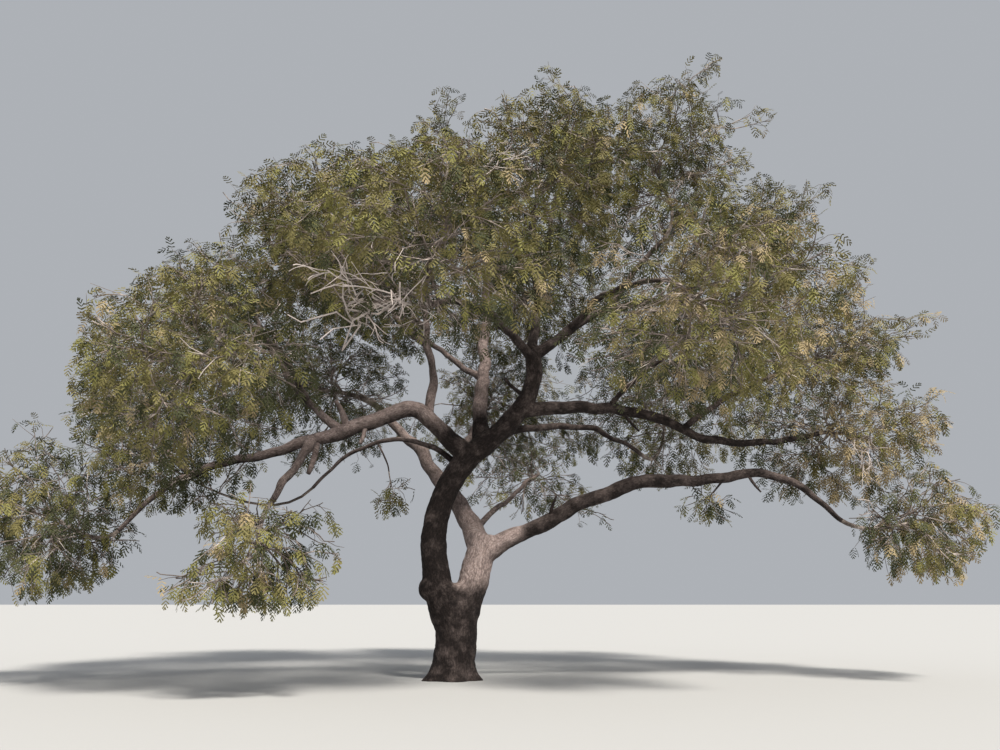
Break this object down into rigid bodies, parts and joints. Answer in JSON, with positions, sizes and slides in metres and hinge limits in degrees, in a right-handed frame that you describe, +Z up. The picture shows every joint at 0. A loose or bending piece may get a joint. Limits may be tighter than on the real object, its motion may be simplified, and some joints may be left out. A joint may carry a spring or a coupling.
{
  "type": "african locust bean tree",
  "caption": "Wide old savanna tree with a short stout trunk that forks low, arching boughs and a domed, weeping crown of feathery foliage.",
  "frame": {"origin": "middle of the flat cut under the trunk, at ground level", "axes": "+Z up, +X to the right and +Y away from the viewer in the picture's view"},
  "size_m": [20.2941, 15.9482, 13.492],
  "materials": {
    "bark": "rough, fissured",
    "foliage": "matte"
  },
  "bodies": {
    "root": {"trunk": "bark", "left_leader": "bark", "right_stem": "bark", "main_leader": "bark", "left_bough": "bark", "left_bough_outer": "bark", "right_low_bough": "bark", "right_low_bough_outer": "bark", "back_left_bough": "bark", "centre_riser": "bark", "right_mid_bough": "bark", "right_back_bough": "bark", "upper_right_bough": "bark", "top_bough": "bark", "front_bough": "bark", "thin_left_bough": "bark", "left_riser": "bark", "left_outer_riser": "bark", "left_outer_bough": "bark", "droop_bough": "bark", "left_front_bough": "bark", "left_front_upper_bough": "bark", "left_upper_bough": "bark", "back_left_upper_bough": "bark", "back_mid_bough": "bark", "back_low_bough": "bark", "top_right_bough": "bark", "right_front_bough": "bark", "right_rise_bough": "bark", "right_inner_bough": "bark", "front_upper_bough": "bark", "right_under_bough": "bark", "sprig_bough": "bark", "left_low_mass": "foliage", "left_outer_mass": "foliage", "left_shoulder_mass": "foliage", "left_upper_mass": "foliage", "left_front_mass": "foliage", "left_front_upper_mass": "foliage", "left_back_mass": "foliage", "back_left_upper_mass": "foliage", "left_under_mass": "foliage", "droop_mass": "foliage", "front_mass": "foliage", "front_upper_mass": "foliage", "top_left_mass": "foliage", "top_mid_mass": "foliage", "top_right_mass": "foliage", "back_upper_mass": "foliage", "back_mass": "foliage", "back_low_mass": "foliage", "right_shoulder_mass": "foliage", "right_upper_outer_mass": "foliage", "right_outer_mass": "foliage", "right_low_mass": "foliage", "right_inner_mass": "foliage", "right_front_mass": "foliage", "right_back_mass": "foliage", "right_under_mass": "foliage", "sprig_mass": "foliage"}
  },
  "joints": []
}
